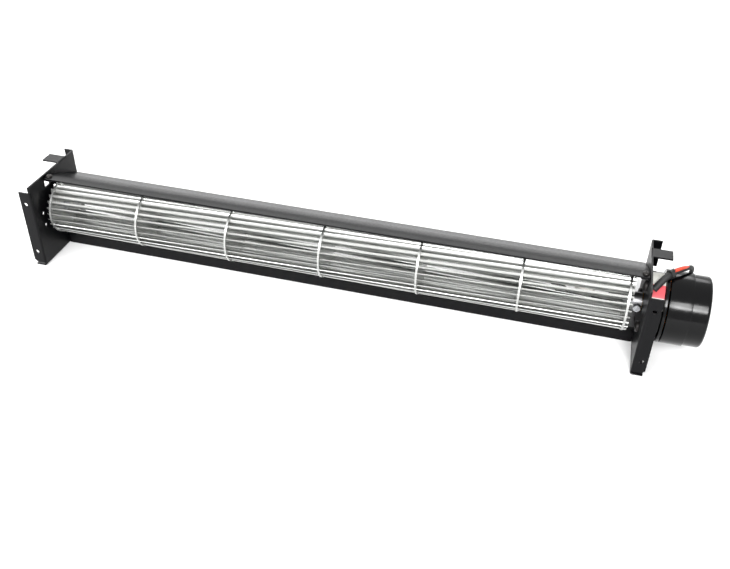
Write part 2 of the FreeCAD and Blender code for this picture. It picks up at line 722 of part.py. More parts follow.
def tube(label, edges):
    """The lead along a path, with a six sided section of a round lead's area."""
    path = Part.Wire(edges)
    start = edges[0].valueAt(edges[0].FirstParameter)
    heading = edges[0].tangentAt(edges[0].FirstParameter)
    aside = heading.cross(Vector(0, 0, 1)).normalize()
    corner = aside * value("lead_radius") * math.sqrt(math.pi / (3 * math.sin(math.pi / 3)))
    ring = []
    for step in range(7):
        ring.append(start + FreeCAD.Rotation(heading, 60 * step).multVec(corner))
    item = doc.addObject("Part::Feature", label)
    item.Label = label
    item.Shape = path.makePipeShell([Part.makePolygon(ring)], True, False)
    stand(item)
    section = math.pi * value("lead_radius") ** 2
    ratio = item.Shape.Volume / section / path.Length
    print("%s length %.1f, volume ratio %.4f" % (label, path.Length, ratio))


spots = [Vector(value("right_face") + x, y, z - value("axis_height")) for x, y, z in lead_points]
edges, radii = lead_path(spots)
print("lead radii", " ".join("%.1f" % radius for radius in radii))
tube("lead", edges)

# The spare length lies as a flat coil on the ground, two turns side by side

coil_height = spots[-1].z
coil_centre = Vector(spots[-1].x - value("coil_lead_in"), spots[-1].y + value("coil_outer_turn"), coil_height)
coil_base = coil_centre - Vector(0, 0, value("lead_radius"))


def around(centre, radius, angle):
    angle = math.radians(angle)
    return centre + Vector(math.cos(angle), math.sin(angle), 0) * radius


def flat_ring(radius):
    """A disc of the lead's height with as many flats as a neat coil needs."""
    flats = sizes["coil_flat_count"]
    rim = [around(coil_base, radius, 360 * step / flats) for step in range(flats + 1)]
    return Part.Face(Part.makePolygon(rim)).extrude(Vector(0, 0, value("lead_dia")))


coil_block = flat_ring(value("coil_outer_turn + lead_radius"))
group("lead_coil", [coil_block.cut(flat_ring(value("coil_inner_turn - lead_radius")))])

# The connector lies inside the coil, its rear end at the turns

length = value("connector_length")
width = value("connector_width")
height = value("connector_height")
block = Part.makeBox(length, width, height, Vector(0, -width / 2, 0))
long_edges = [edge for edge in block.Edges if abs(edge.Curve.Direction.x) > 0.9]
block = block.makeChamfer(value("connector_chamfer"), long_edges)
for side in (-1, 1):
    well = value("connector_well")
    corner = Vector(length - value("connector_depth"), side * width / 4 - well / 2, (height - well) / 2)
    block = block.cut(Part.makeBox(length, well, well, corner))
ground = around(coil_base, value("coil_inner_turn - lead_radius - connector_inset"), value("connector_angle"))
ground.z = -value("axis_height")
block.Placement = FreeCAD.Placement(ground, FreeCAD.Rotation(Vector(0, 0, 1), value("connector_heading")))
group("lead_connector", [block])

# A tie holds the two turns together at the back of the coil

across = value("coil_outer_turn - coil_inner_turn + 2 * lead_radius + 2 * tie_slack")
tie_middle = coil_base + Vector(0, value("coil_mid_dia / 2"), 0)
wall = value("tie_wall")
tie_width = value("tie_width")
band = Part.makeBox(tie_width, across + 2 * wall, value("lead_dia") + 2 * wall,
                    tie_middle - Vector(tie_width / 2, across / 2 + wall, wall))
inside = tie_middle - Vector(tie_width / 2, across / 2, 0)
band = band.cut(Part.makeBox(tie_width, across, value("lead_dia"), inside))
lock = value("tie_lock")
lock_corner = tie_middle + Vector(-lock / 2, 0, value("lead_dia") + wall)
band = band.fuse(Part.makeBox(lock, lock, lock / 2, lock_corner))
group("lead_tie", [band.removeSplitter()])

print("pieces:", len(subparts))
doc.recompute()
faults = []
for item in doc.Objects:
    if "Invalid" in item.State or "Error" in item.State:
        faults.append(f"{item.Label}: {item.State}")
for item in subparts:
    shape = item.Shape
    if shape.isNull() or not shape.isValid() or shape.Volume <= 0:
        faults.append(f"{item.Label}: no valid solid")
if faults:
    raise SystemExit("\n".join(faults))

os.makedirs("parts", exist_ok=True)
for item in subparts:
    item.Shape.exportStep(f"parts/{item.Label}.step")
    print(f"{item.Label}: {len(item.Shape.Solids)} solid(s), {item.Shape.Volume:.2f} mm3")
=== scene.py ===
# %% [markdown]
# # A cross flow fan
#
# The part is a long impeller of twisted aluminium blades between two black sheet end
# plates, with a round motor on the right and a short lead. Its construction comes in
# as a fixed frame of solids, in metres, standing on Z = 0 with the axis along X. This
# script gives each solid its finish, and makes again in mesh what a solid keeps plain:
# the smooth twist of the blades, drawn edges, screws and the lead.

# %% Load the frame
import math

import bmesh
import bpy
from mathutils import Matrix, Vector


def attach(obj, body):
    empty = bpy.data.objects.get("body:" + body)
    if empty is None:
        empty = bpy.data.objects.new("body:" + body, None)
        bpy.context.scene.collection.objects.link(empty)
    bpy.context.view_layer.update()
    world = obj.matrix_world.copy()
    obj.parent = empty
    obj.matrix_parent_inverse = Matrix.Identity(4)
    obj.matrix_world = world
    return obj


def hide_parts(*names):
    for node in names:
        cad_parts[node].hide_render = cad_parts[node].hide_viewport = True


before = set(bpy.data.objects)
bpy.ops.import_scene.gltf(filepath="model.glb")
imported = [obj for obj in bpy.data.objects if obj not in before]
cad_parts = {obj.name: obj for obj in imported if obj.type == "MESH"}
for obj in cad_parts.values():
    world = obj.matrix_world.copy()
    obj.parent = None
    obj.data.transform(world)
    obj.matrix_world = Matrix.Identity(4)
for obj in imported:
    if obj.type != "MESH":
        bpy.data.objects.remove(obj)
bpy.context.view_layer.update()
MM = 0.001

# %% [markdown]
# The camera stands in front of the fan, above it and to its right, and looks down and to
# the left, so the motor is near and the far end grows smaller. Its place was worked out
# from the pixels of screw holes, disc rims and plate corners in the photograph.

# %% Camera
camera_data = bpy.data.cameras.new("camera")
camera_data.sensor_width = 36
camera_data.lens = 42.74
camera = bpy.data.objects.new("camera", camera_data)
bpy.context.scene.collection.objects.link(camera)
camera_place = Vector((102.15, -351.7, 276.15))
yaw, pitch, roll = -0.257, 0.635, -0.020
ahead = Vector((math.sin(yaw) * math.cos(pitch), math.cos(yaw) * math.cos(pitch),
                -math.sin(pitch)))
level = Vector((math.cos(yaw), -math.sin(yaw), 0))
below = ahead.cross(level)
right = math.cos(roll) * level + math.sin(roll) * below
down = math.cos(roll) * below - math.sin(roll) * level
pose = Matrix((right, -down, -ahead)).transposed().to_4x4()
pose.translation = camera_place * MM
camera.matrix_world = pose
bpy.context.scene.camera = camera
print("camera at", [round(value, 4) for value in camera.location])

# %% [markdown]
# A material starts from what the real surface is. Colours are written as they look on a
# screen, in sRGB, and one function turns them to the linear light that shaders count in.
# Another adds one node with its settings and its links; an input is named, or numbered
# where two have the same name. Patterns read Object coordinates, which are metres here,
# so a scale is one over the real size of the pattern.

# %% Helpers for materials
WAVE_PERIOD = 0.3  # the length of one wave of Blender's wave pattern at scale 1


def linear(code):
    """An sRGB hex colour as linear red, green, blue and alpha."""
    shares = [int(code[index:index + 2], 16) / 255 for index in (1, 3, 5)]
    return [share / 12.92 if share <= 0.04045 else ((share + 0.055) / 1.055) ** 2.4
            for share in shares] + [1]


def add(tree, kind, inputs=None, **settings):
    """One node, its settings, and its inputs: a number or colour, or a socket to link."""
    node = tree.nodes.new(kind)
    for name, value in settings.items():
        setattr(node, name, value)
    for name, value in (inputs or {}).items():
        socket = node.inputs[name]
        if isinstance(value, bpy.types.NodeSocket):
            tree.links.new(value, socket)
        else:
            socket.default_value = value
    return node


def finish(name, colour, **shader):
    """A new material with one shader; returns the material, its tree and the shader."""
    material = bpy.data.materials.new(name)
    material.use_nodes = True
    tree = material.node_tree
    surface = tree.nodes["Principled BSDF"]
    surface.inputs["Base Color"].default_value = linear(colour)
    for key, value in shader.items():
        surface.inputs[key.replace("_", " ")].default_value = value
    return material, tree, surface


def grain(tree, surface, size, height, detail=2.0, stretch=(1, 1, 1)):
    """Small relief of one real size in metres, its height in metres."""
    spot = add(tree, "ShaderNodeTexCoord")
    scaled = add(tree, "ShaderNodeMapping", {"Vector": spot.outputs["Object"], "Scale": stretch})
    noise = add(tree, "ShaderNodeTexNoise",
                {"Vector": scaled.outputs["Vector"], "Scale": 1 / size, "Detail": detail})
    bump = add(tree, "ShaderNodeBump", {"Height": noise.outputs["Fac"], "Distance": height})
    tree.links.new(bump.outputs["Normal"], surface.inputs["Normal"])
    return noise


def vary(tree, noise, surface, socket, low, high):
    """A shader input that follows the relief between two values."""
    spread = add(tree, "ShaderNodeMapRange",
                 {"Value": noise.outputs["Fac"], "From Min": 0.3, "From Max": 0.7,
                  "To Min": low, "To Max": high})
    tree.links.new(spread.outputs["Result"], surface.inputs[socket])


def ridges(tree, surface, spacing, height):
    """Even ridges across X: their distance and their height in metres."""
    spot = add(tree, "ShaderNodeTexCoord")
    wave = add(tree, "ShaderNodeTexWave",
               {"Vector": spot.outputs["Object"], "Scale": WAVE_PERIOD / spacing})
    bump = add(tree, "ShaderNodeBump", {"Height": wave.outputs["Fac"], "Distance": height})
    tree.links.new(bump.outputs["Normal"], surface.inputs["Normal"])


# %% [markdown]
# The blades and discs are thin rolled aluminium sheet. Rolling leaves fine lines along the
# strip, so the relief is long in X and short across, and it blurs reflections a little.

# %% Rolled aluminium
aluminium, tree, surface = finish("rolled aluminium sheet", "#c0c1bf", Metallic=1, Roughness=0.36)
noise = grain(tree, surface, 0.5 * MM, 0.0006 * MM, 2, (0.02, 1, 1))
vary(tree, noise, surface, "Roughness", 0.32, 0.4)

# %% [markdown]
# The end plates and guides are steel sheet with a black coating. It is semi-gloss: dark
# when seen square on, and like a dull mirror at a low angle. Sprayed coating has a soft
# orange peel about a millimetre wide.

# %% Black coated sheet
coated, tree, surface = finish("black coating on sheet steel", "#070709", Roughness=0.34)
surface.inputs["Specular IOR Level"].default_value = 0.15
noise = grain(tree, surface, 1.1 * MM, 0.006 * MM)
vary(tree, noise, surface, "Roughness", 0.3, 0.4)

# %% [markdown]
# The motor's drawn steel is smoother and has a glossier black, so the can carries one
# sharp band of light along its top.

# %% Black enamel on the motor
enamel, tree, surface = finish("black enamel on drawn steel", "#040405", Roughness=0.15)
surface.inputs["Specular IOR Level"].default_value = 0.2
noise = grain(tree, surface, 2.5 * MM, 0.002 * MM)
vary(tree, noise, surface, "Roughness", 0.12, 0.19)

# %% [markdown]
# Bare metals: ground steel for shafts, a turned light metal hub, sintered bronze for the
# sleeve bearings and thin stacked sheets for the stator. The pan head screws are steel
# with a black oxide. Turning and grinding leave rings round the axis, so the relief of
# shafts and hub is short along X.

# %% Bare metals
steel, tree, surface = finish("ground steel", "#b4b6b9", Metallic=1, Roughness=0.25)
noise = grain(tree, surface, 0.3 * MM, 0.002 * MM, 2, (1, 0.2, 0.2))
vary(tree, noise, surface, "Roughness", 0.2, 0.34)

hub_metal, tree, surface = finish("turned light metal", "#8c8c8e", Metallic=1, Roughness=0.38)
noise = grain(tree, surface, 0.4 * MM, 0.003 * MM, 2, (1, 0.1, 0.1))
vary(tree, noise, surface, "Roughness", 0.32, 0.45)

black_steel, tree, surface = finish("black oxide on steel", "#2a2827", Metallic=0.6, Roughness=0.4)
noise = grain(tree, surface, 0.3 * MM, 0.003 * MM)
vary(tree, noise, surface, "Roughness", 0.34, 0.5)

bronze, tree, surface = finish("sintered bronze", "#a98545", Metallic=1, Roughness=0.45)
noise = grain(tree, surface, 0.2 * MM, 0.01 * MM)
vary(tree, noise, surface, "Roughness", 0.38, 0.55)

laminate, tree, surface = finish("stacked electrical steel", "#77797c", Metallic=1, Roughness=0.4)
ridges(tree, surface, 0.5 * MM, 0.05 * MM)

# %% [markdown]
# The windings are enamelled copper wire laid side by side: rounded ridges 0.3 mm apart.

# %% Copper winding
copper, tree, surface = finish("enamelled copper wire", "#b0602e", Metallic=1, Roughness=0.3)
ridges(tree, surface, 0.3 * MM, 0.1 * MM)

# %% [markdown]
# Moulded rubber is matt and nearly black. Nylon is a little glossy; natural nylon lets
# some light in, which softens its shadows.

# %% Rubber and nylon
rubber, tree, surface = finish("moulded black rubber", "#111111", Roughness=0.75)
noise = grain(tree, surface, 0.25 * MM, 0.02 * MM)
vary(tree, noise, surface, "Roughness", 0.68, 0.85)

nylon, tree, surface = finish("natural moulded nylon", "#e9e7e0", Roughness=0.42,
                              Subsurface_Weight=0.15)
surface.inputs["Subsurface Scale"].default_value = 1 * MM
noise = grain(tree, surface, 0.4 * MM, 0.01 * MM)
vary(tree, noise, surface, "Roughness", 0.36, 0.5)

black_nylon, tree, surface = finish("black moulded nylon", "#1c1c1c", Roughness=0.4)
noise = grain(tree, surface, 0.4 * MM, 0.01 * MM)
vary(tree, noise, surface, "Roughness", 0.34, 0.46)

# %% [markdown]
# The film round the motor's base is thin red polyester that looks pink against the light,
# with a pale margin along its lower edge, and it is pale again above the lead. Both
# borders are chosen by place on the piece itself, and each blurs over a short distance.

# %% Red film
RED_ABOVE = (38.0 * MM, 38.15 * MM)
RED_BEFORE = (-5.6 * MM, -5.2 * MM)
film_finish, tree, surface = finish("red polyester film", "#d2545c", Roughness=0.28)
spot = add(tree, "ShaderNodeTexCoord")
parts = add(tree, "ShaderNodeSeparateXYZ", {"Vector": spot.outputs["Object"]})
margin = add(tree, "ShaderNodeMapRange",
             {"Value": parts.outputs["Z"], "From Min": RED_ABOVE[0], "From Max": RED_ABOVE[1]})
front = add(tree, "ShaderNodeMapRange",
            {"Value": parts.outputs["Y"], "From Min": RED_BEFORE[0], "From Max": RED_BEFORE[1],
             "To Min": 1.0, "To Max": 0.0})
red_part = add(tree, "ShaderNodeMath",
               {0: margin.outputs["Result"], 1: front.outputs["Result"]}, operation="MULTIPLY")
grain(tree, surface, 1.5 * MM, 0.01 * MM)
colours = add(tree, "ShaderNodeValToRGB", {"Fac": red_part.outputs["Value"]})
colours.color_ramp.elements[0].color = linear("#cfcfc8")
colours.color_ramp.elements[1].color = linear("#d2545c")
tree.links.new(colours.outputs["Color"], surface.inputs["Base Color"])

# %% [markdown]
# The lead's sleeve is woven of thin black threads. At this size the weave is a fine
# relief, 0.35 mm wide, with painted shade that darkens its hollows. The wires inside it
# have a smooth orange-red insulation.

# %% Woven sleeve and wires
sleeve, tree, surface = finish("black woven sleeve", "#101011", Roughness=0.6)
noise = grain(tree, surface, 0.35 * MM, 0.06 * MM, 1)
vary(tree, noise, surface, "Roughness", 0.5, 0.75)
# Painted shade: the base colour follows the relief and is darker in its hollows.
painted_hollow_shade = add(tree, "ShaderNodeValToRGB", {"Fac": noise.outputs["Fac"]})
painted_hollow_shade.color_ramp.elements[0].color = linear("#070708")
painted_hollow_shade.color_ramp.elements[1].color = linear("#161617")
tree.links.new(painted_hollow_shade.outputs["Color"], surface.inputs["Base Color"])

wire_red, tree, surface = finish("orange-red wire insulation", "#d8452a", Roughness=0.35)
noise = grain(tree, surface, 1.5 * MM, 0.01 * MM)
vary(tree, noise, surface, "Roughness", 0.3, 0.42)

# %% [markdown]
# ## The lead
#
# The lead leaves the motor's base at the top, crosses over the can and drops behind it to
# the ground. Its spare length lies there as two turns side by side, which ends in a white
# connector. The line is one smooth curve: its control points are the same spots that
# the solid lead was routed by, then points round each turn. Such points lie a little
# outside the circle that they draw. Over the can the sleeve is gathered thinner.

# %% The lead as one curve
LEAD = 3.2 * MM
GATHERED, GATHERED_POINTS = 0.66, range(3, 8)
RIGHT_PLATE = 146.2
COIL = Vector((RIGHT_PLATE - 24.0, 44.5, 2.2))
OUTER_TURN, INNER_TURN = 18.6, 15.4
TURN_POINTS = 24
route = [Vector((RIGHT_PLATE + x, y, z)) for x, y, z in [
    (2.6, -8.6, 40.6), (5.4, -5.6, 43.7), (8.4, -2.6, 46.2), (12.0, 0.4, 46.7),
    (15.8, 4.2, 46.4), (18.8, 9.8, 44.4), (20.6, 15.2, 39.9), (20.8, 19.4, 33.0),
    (18.8, 21.8, 24.8), (15.0, 23.8, 16.4), (8.6, 25.2, 9.0), (-0.2, 25.9, 4.0),
    (-10.0, 25.9, 2.2), (-20.0, 25.9, 2.2)]]


def on_coil(radius, angle):
    """A spot on a turn of the coil, at an angle in degrees."""
    angle = math.radians(angle)
    return COIL + Vector((math.cos(angle), math.sin(angle), 0)) * radius


def tube(name, places, width, material, rounds):
    """A smooth round cord through places in mm; its width in metres."""
    data = bpy.data.curves.new(name, "CURVE")
    data.dimensions = "3D"
    data.bevel_depth = width / 2
    data.bevel_resolution = rounds
    data.use_fill_caps = True
    line = data.splines.new("NURBS")
    line.points.add(len(places) - 1)
    for point, place in zip(line.points, places):
        point.co = (*(place * MM), 1)
    line.order_u = 3
    line.use_endpoint_u = True
    data.materials.append(material)
    cord = bpy.data.objects.new(name, data)
    bpy.context.scene.collection.objects.link(cord)
    return cord


bulge = 1 / math.cos(math.pi / TURN_POINTS)
for step in range(1, TURN_POINTS - 3):
    route.append(on_coil(OUTER_TURN * bulge, -90 - 360 * step / TURN_POINTS))
for angle, radius in ((-45, 18.5), (-60, 17.6), (-75, 16.2), (-90, 15.5)):
    route.append(on_coil(radius, angle))
for step in range(1, TURN_POINTS - 5):
    route.append(on_coil(INNER_TURN * bulge, -90 - 360 * step / TURN_POINTS))
for angle, radius in ((-20, 15.3), (-40, 15.0), (-58.4, 14.4), (-75, 10.9)):
    route.append(on_coil(radius, angle))
route[-1].z = 2.4

lead_cord = tube("lead_cord", route, LEAD, sleeve, 5)
lead_cord.data.resolution_u = 10
for index in GATHERED_POINTS:
    lead_cord.data.splines[0].points[index].radius = GATHERED
print("the lead's curve has", len(route), "control points")

# %% [markdown]
# Over the can two of the lead's wires show on top of its sleeve. Each is a thin tube that
# starts and ends inside the sleeve and lies beside and above the lead's own line by a
# share that grows and falls. A tie holds them where they come out: a band round the lead
# with its two tips cut short.

# %% The wires that show
WIRE = 1.1 * MM
ACROSS_LEAD = Vector((0.66, -0.75, 0))
WIRE_SHARES = (0.2, 1.0, 1.15, 1.0, 0.1)
wires = []
for number, (aside, lift) in enumerate(((-0.75, 0.75), (0.3, 1.05)), 1):
    offset = ACROSS_LEAD * aside + Vector((0, 0, lift))
    places = [route[index] + offset * share for index, share in enumerate(WIRE_SHARES, 1)]
    wires.append(tube(f"wire_{number}", places, WIRE, wire_red, 4))
print(len(wires), "wires,", WIRE / MM, "mm each")

# %% The tie on the lead
TIE_WIDTH, TIE_WALL, TIE_SIDES = 2.0, 0.45, 32
TIE_INNER = 1.75
TIE_OUTER = TIE_INNER + TIE_WALL
TIP_SIZE, TIP_SHIFTS, TIP_LIFT = (0.7, 1.5, 1.1), (-0.7, 1.1), 1.9
heading = (route[3] - route[2]).normalized()
seat = route[2] * 0.75 + route[3] * 0.25 + Vector((0, 0, -0.2))
aside = heading.cross(Vector((0, 0, 1))).normalized()
upward = aside.cross(heading)
shape = bmesh.new()
band = []
for along, radius in ((-0.5, TIE_INNER), (-0.5, TIE_OUTER), (0.5, TIE_OUTER), (0.5, TIE_INNER)):
    ring = []
    for side in range(TIE_SIDES):
        angle = 2 * math.pi * side / TIE_SIDES
        reach = (aside * math.cos(angle) + upward * math.sin(angle)) * radius
        ring.append(shape.verts.new((seat + heading * along * TIE_WIDTH + reach) * MM))
    band.append(ring)
for near, far in zip(band, band[1:] + band[:1]):
    for side in range(TIE_SIDES):
        after = (side + 1) % TIE_SIDES
        shape.faces.new((near[side], near[after], far[after], far[side]))
tip_turn = Matrix((heading, aside, upward)).transposed().to_4x4()
tip_size = Matrix.Scale(MM, 4) @ Matrix.Diagonal((*TIP_SIZE, 1))
for shift in TIP_SHIFTS:
    made = bmesh.ops.create_cube(shape, size=1)
    spot = Matrix.Translation((seat + heading * shift + upward * TIP_LIFT) * MM)
    bmesh.ops.transform(shape, matrix=spot @ tip_turn @ tip_size, verts=made["verts"])
bmesh.ops.recalc_face_normals(shape, faces=shape.faces)
tie_mesh = bpy.data.meshes.new("wire_tie")
shape.to_mesh(tie_mesh)
shape.free()
tie_mesh.materials.append(black_nylon)
wire_tie = bpy.data.objects.new("wire_tie", tie_mesh)
bpy.context.scene.collection.objects.link(wire_tie)
print("the tie has", len(tie_mesh.polygons), "faces")

# %% [markdown]
# Solids come in as loose triangles. A copy has its doubles merged, so that edges are
# shared; then a narrow bevel rounds each sharp edge as a press or a mould does, and such
# an edge catches light. The copy stands for the solid, which only the physics then keeps,
# hidden.

# %% Helpers for pieces made from solids
MERGED = 0.002 * MM
FLAT_ANGLE, EDGE_ANGLE = 1, 40


def shown(name, mesh, material):
    """A new object with a mesh and a material."""
    item = bpy.data.objects.new(name, mesh)
    mesh.materials.clear()
    mesh.materials.append(material)
    bpy.context.scene.collection.objects.link(item)
    return item


def eased(node, width, material, body, segments=2):
    """A merged copy of a solid with rounded edges, in place of it."""
    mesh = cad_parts[node].data.copy()
    shape = bmesh.new()
    shape.from_mesh(mesh)
    bmesh.ops.remove_doubles(shape, verts=shape.verts, dist=MERGED)
    bmesh.ops.dissolve_limit(shape, angle_limit=math.radians(FLAT_ANGLE), verts=shape.verts,
                             edges=shape.edges)
    shape.to_mesh(mesh)
    shape.free()
    item = shown(node + "_skin", mesh, material)
    bevel = item.modifiers.new("rounded edges", "BEVEL")
    bevel.width = width
    bevel.segments = segments
    bevel.limit_method = "ANGLE"
    bevel.angle_limit = math.radians(EDGE_ANGLE)
    bevel.use_clamp_overlap = True
    bevel.harden_normals = True
    smooth(mesh)
    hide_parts(node)
    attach(item, body)
    return item


def smooth(mesh, angle=EDGE_ANGLE):
    """Shades a mesh smooth except across edges sharper than the angle, in degrees."""
    mesh.shade_smooth()
    mesh.set_sharp_from_angle(angle=math.radians(angle))


# %% [markdown]
# ## Sheet metal
#
# End plates and guides are cut and folded from 0.8 mm sheet. Their edges are sheared, with
# a small round, so the bevel is a tenth of a millimetre.

# %% Plates and guides
for node in ("left_end_plate", "right_end_plate", "top_guide_plate", "bottom_guide_plate"):
    plate = eased(node, 0.1 * MM, coated, "housing")
    print(plate.name, "has", len(plate.data.polygons), "faces before its bevel")

# %% [markdown]
# ## The impeller
#
# Each blade is one strip, bent to an arc across and twisted along, that passes through a
# slot in every disc. The solid has three flats across and three spans along, which shows
# as creases. The strip here follows the same rule in many small steps. Geometry Nodes
# then set 26 of them round the axis, so that the count is one number.

# %% One smooth blade
AXIS_HEIGHT = 26.8
FIRST_DISC = -161.0
LENGTH = 300.0
BLADES = 26
START, END = -2.1, 302.1
INNER, OUTER, THICK = 11.4, 14.4, 0.3
TIP_ANGLE, PHASE, TWIST = 30.0, 1.3, 33.0
ACROSS, ALONG = 10, 60
bow = (OUTER ** 2 - INNER ** 2) / (2 * OUTER * math.cos(math.radians(TIP_ANGLE)))
ratio = INNER / bow
arc = (math.atan(1 / ratio)
       + math.asin(((OUTER ** 2 - INNER ** 2) / (2 * bow ** 2) - 1) / math.hypot(ratio, 1)))
print("blade bow radius", round(bow, 3), "mm, arc", round(math.degrees(arc), 1), "degrees")


def blade_mesh():
    """The strip as a closed mesh round its own axis, laid along X from the first disc."""
    rings = []
    shape = bmesh.new()
    for step in range(ALONG + 1):
        spot = START + (END - START) * step / ALONG
        turn = Matrix.Rotation(-math.radians(PHASE + TWIST * spot / LENGTH), 3, "X")
        ring = []
        for side in (-1, 1):
            radius = bow + side * THICK / 2
            row = []
            for part in range(ACROSS + 1):
                angle = math.radians(270) - arc * part / ACROSS
                corner = Vector((0, -INNER + radius * math.cos(angle),
                                 bow + radius * math.sin(angle)))
                row.append(turn @ corner + Vector((spot, 0, 0)))
            ring += row if side < 0 else row[::-1]
        rings.append([shape.verts.new(place * MM) for place in ring])
    count = len(rings[0])
    for near, far in zip(rings, rings[1:]):
        for index in range(count):
            after = (index + 1) % count
            shape.faces.new((near[index], near[after], far[after], far[index]))
    shape.faces.new(rings[0])
    shape.faces.new(rings[-1])
    bmesh.ops.recalc_face_normals(shape, faces=shape.faces)
    mesh = bpy.data.meshes.new("blade")
    shape.to_mesh(mesh)
    shape.free()
    smooth(mesh, 50)
    return mesh


# %% [markdown]
# The node tree takes the blade and a count, makes that many points at the origin, puts a
# blade on each and turns it by its share of a full circle.

# %% The ring of blades


def ring_tree(name, material):
    """A node tree that repeats its geometry round X."""
    tree = bpy.data.node_groups.new(name, "GeometryNodeTree")
    tree.interface.new_socket("Geometry", in_out="INPUT", socket_type="NodeSocketGeometry")
    count = tree.interface.new_socket("Count", in_out="INPUT", socket_type="NodeSocketInt")
    tree.interface.new_socket("Geometry", in_out="OUTPUT", socket_type="NodeSocketGeometry")
    given = add(tree, "NodeGroupInput")
    points = add(tree, "GeometryNodePoints", {"Count": given.outputs["Count"]})
    index = add(tree, "GeometryNodeInputIndex")
    share = add(tree, "ShaderNodeMath",
                {0: index.outputs["Index"], 1: given.outputs["Count"]}, operation="DIVIDE")
    angle = add(tree, "ShaderNodeMath", {0: share.outputs["Value"], 1: -2 * math.pi},
                operation="MULTIPLY")
    turn = add(tree, "ShaderNodeCombineXYZ", {"X": angle.outputs["Value"]})
    ring = add(tree, "GeometryNodeInstanceOnPoints",
               {"Points": points.outputs[0], "Instance": given.outputs["Geometry"],
                "Rotation": turn.outputs["Vector"]})
    real = add(tree, "GeometryNodeRealizeInstances", {"Geometry": ring.outputs["Instances"]})
    painted = add(tree, "GeometryNodeSetMaterial", {"Geometry": real.outputs["Geometry"],
                                                    "Material": material})
    add(tree, "NodeGroupOutput", {"Geometry": painted.outputs["Geometry"]})
    return tree, count.identifier


blades = shown("blades", blade_mesh(), aluminium)
tree, count_input = ring_tree("ring of blades", aluminium)
maker = blades.modifiers.new("ring", "NODES")
maker.node_group = tree
maker[count_input] = BLADES
view = bpy.context.evaluated_depsgraph_get()
whole = bpy.data.meshes.new_from_object(blades.evaluated_get(view))
blades.modifiers.remove(maker)
blades.data = whole
whole.transform(Matrix.Translation(Vector((FIRST_DISC, 0, AXIS_HEIGHT)) * MM))
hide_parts(*[f"blade_{number:02d}" for number in range(1, BLADES + 1)])
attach(blades, "rotor")
print("blades:", len(whole.polygons), "faces")

# %% [markdown]
# The discs keep their solids' shape, with the rim and the slots slightly rounded.

# %% Discs
for node in ("end_discs", "inner_discs"):
    disc = eased(node, 0.06 * MM, aluminium, "rotor", 1)
    print(disc.name, len(disc.data.polygons), "faces before its bevel")

# %% [markdown]
# ## Turned and drawn pieces
#
# The can, the base and the small parts at both ends are round about the axis, so each is
# a profile of X and radius that is spun. Corners of drawn sheet are arcs in the profile.

# %% Helper for spun pieces


def corner_arc(x, radius, size, start, end, steps=5):
    """Profile spots round a corner whose centre is at x and radius; angles in degrees."""
    spots = []
    for step in range(steps + 1):
        angle = math.radians(start + (end - start) * step / steps)
        spots.append((x + size * math.cos(angle), radius + size * math.sin(angle)))
    return spots


def spun(name, profile, material, body, node, sides=160):
    """A closed profile of (X, radius) in mm, spun about the fan's axis, for a solid."""
    shape = bmesh.new()
    rings = []
    for x, radius in profile:
        if radius == 0:
            rings.append([shape.verts.new(Vector((x, 0, AXIS_HEIGHT)) * MM)] * sides)
            continue
        ring = []
        for side in range(sides):
            angle = 2 * math.pi * side / sides
            place = Vector((x, radius * math.cos(angle), AXIS_HEIGHT + radius * math.sin(angle)))
            ring.append(shape.verts.new(place * MM))
        rings.append(ring)
    closed = profile[0][1] > 0 and profile[-1][1] > 0
    pairs = list(zip(rings, rings[1:])) + ([(rings[-1], rings[0])] if closed else [])
    for near, far in pairs:
        for side in range(sides):
            after = (side + 1) % sides
            corners = []
            for vert in (near[side], near[after], far[after], far[side]):
                if vert not in corners:
                    corners.append(vert)
            if len(corners) > 2:
                shape.faces.new(corners)
    bmesh.ops.recalc_face_normals(shape, faces=shape.faces)
    mesh = bpy.data.meshes.new(name)
    shape.to_mesh(mesh)
    shape.free()
    smooth(mesh, 30)
    item = shown(name, mesh, material)
    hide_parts(node)
    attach(item, body)
    return item


# %% [markdown]
# The can is drawn from 1 mm steel with a step near its open end and a well rounded
# closed end. The base is a cup with a rim of the same diameter, and a narrow gap parts it
# from the can, because the can turns.

# %% Motor can and base
MOTOR, ROUND = 17.5, 0.3
CAN_OPEN, CAN_STEP, CAN_END = 156.4, 166.8, 174.8
CAN_INNER, CAN_NARROW, CAN_WALL = 16.0, 17.0, 1.0
BEND, CHAMFER = 1.4, 0.8
inner_end = CAN_END - CAN_WALL
can_profile = ([(inner_end, 0), (inner_end, CAN_INNER - CHAMFER),
                (inner_end - CHAMFER, CAN_INNER), (CAN_OPEN, CAN_INNER)]
               + corner_arc(CAN_OPEN + ROUND, MOTOR - ROUND, ROUND, 180, 90)
               + corner_arc(CAN_STEP - ROUND, MOTOR - ROUND, ROUND, 90, 0)
               + [(CAN_STEP, CAN_NARROW)]
               + corner_arc(CAN_END - BEND, CAN_NARROW - BEND, BEND, 90, 0, 8)
               + [(CAN_END, 0)])
rotor_can = spun("motor_can", can_profile, enamel, "rotor", "rotor_can")

BASE, RIM, RIM_END = 147.0, 154.4, 155.9
CUP, CUP_INNER, TUBE_HOLE, CUP_FLOOR = 15.5, 14.3, 4.5, 1.5
CUP_ROUND, FILLET = 0.4, 0.2
base_profile = ([(BASE, TUBE_HOLE)]
                + corner_arc(BASE + CUP_ROUND, CUP - CUP_ROUND, CUP_ROUND, 180, 90)
                + [(RIM - FILLET, CUP), (RIM, CUP + FILLET)]
                + corner_arc(RIM + ROUND, MOTOR - ROUND, ROUND, 180, 90)
                + corner_arc(RIM_END - ROUND, MOTOR - ROUND, ROUND, 90, 0)
                + [(RIM_END, CUP_INNER), (BASE + CUP_FLOOR, CUP_INNER),
                   (BASE + CUP_FLOOR, TUBE_HOLE)])
base = spun("motor_cup", base_profile, enamel, "housing", "motor_base")
print("motor can and base:", len(rotor_can.data.polygons), len(base.data.polygons), "faces")

